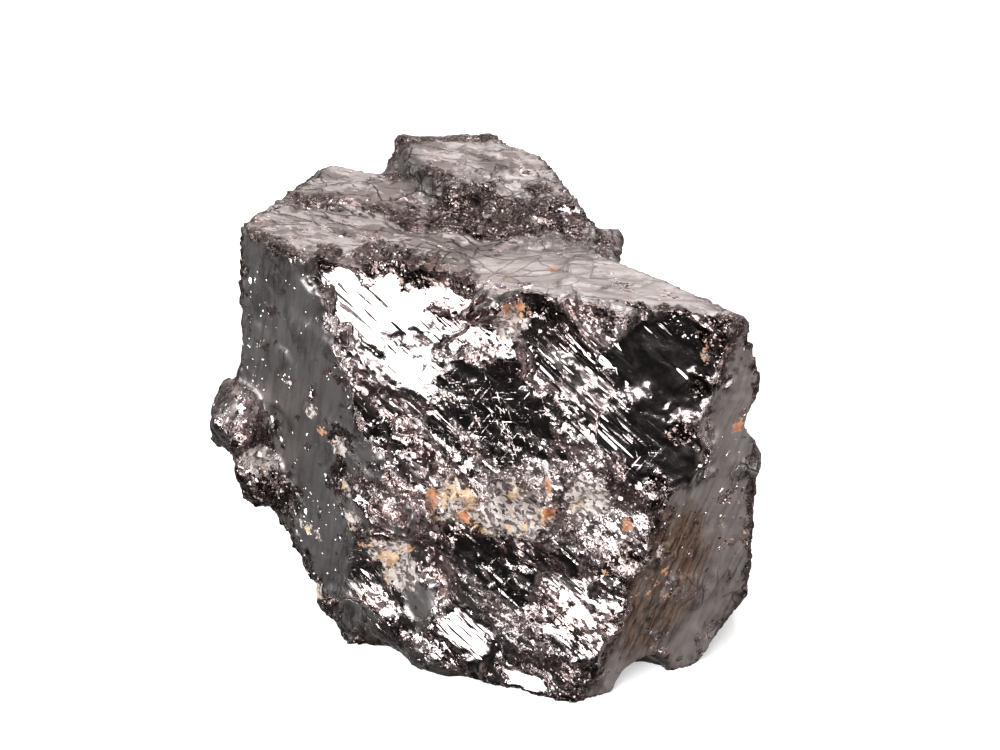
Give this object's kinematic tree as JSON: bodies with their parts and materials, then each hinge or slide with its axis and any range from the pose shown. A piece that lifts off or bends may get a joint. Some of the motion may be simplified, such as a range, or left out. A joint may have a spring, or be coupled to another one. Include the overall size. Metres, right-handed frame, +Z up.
{
  "type": "shungite rock",
  "caption": "Chunk of lustrous black elite shungite: flat fracture faces, ledges, chips and small knobs, standing on a flat broken foot.",
  "frame": {"origin": "middle of the bounding box, at the height of the flat foot", "axes": "+X to the right along the rock's length, +Y from the broken front to the back, +Z up"},
  "size_m": [0.0504, 0.0332, 0.0425],
  "materials": {
    "shungite": "metallic lustre, glossy on the front and satin on the top and sides"
  },
  "bodies": {
    "root": {"shungite_rock": "shungite"}
  },
  "joints": []
}
